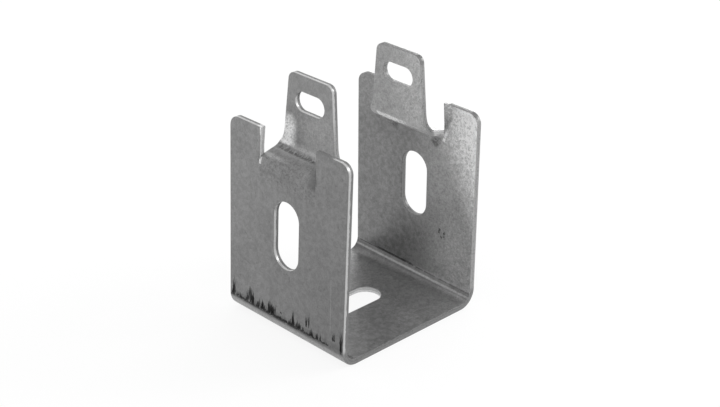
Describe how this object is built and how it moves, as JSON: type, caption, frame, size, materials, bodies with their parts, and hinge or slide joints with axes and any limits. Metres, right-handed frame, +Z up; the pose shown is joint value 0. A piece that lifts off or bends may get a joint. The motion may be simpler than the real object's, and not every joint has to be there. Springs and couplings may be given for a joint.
{
  "type": "ceiling hanger clip",
  "caption": "Hanger clip for suspended ceilings, one strip of galvanised sheet folded into a U, with slotted walls and inset tabs at their tops.",
  "frame": {"origin": "middle of the underside of the base", "axes": "+Z up from the base to the tabs, +X across the two walls, +Y along the base folds"},
  "size_m": [0.0458, 0.04, 0.0648],
  "materials": {
    "galvanised_sheet": "hot-dip galvanised, dull mottled zinc with worn bends and bare cut edges"
  },
  "bodies": {
    "root": {"hanger_clip": "galvanised_sheet"}
  },
  "joints": []
}
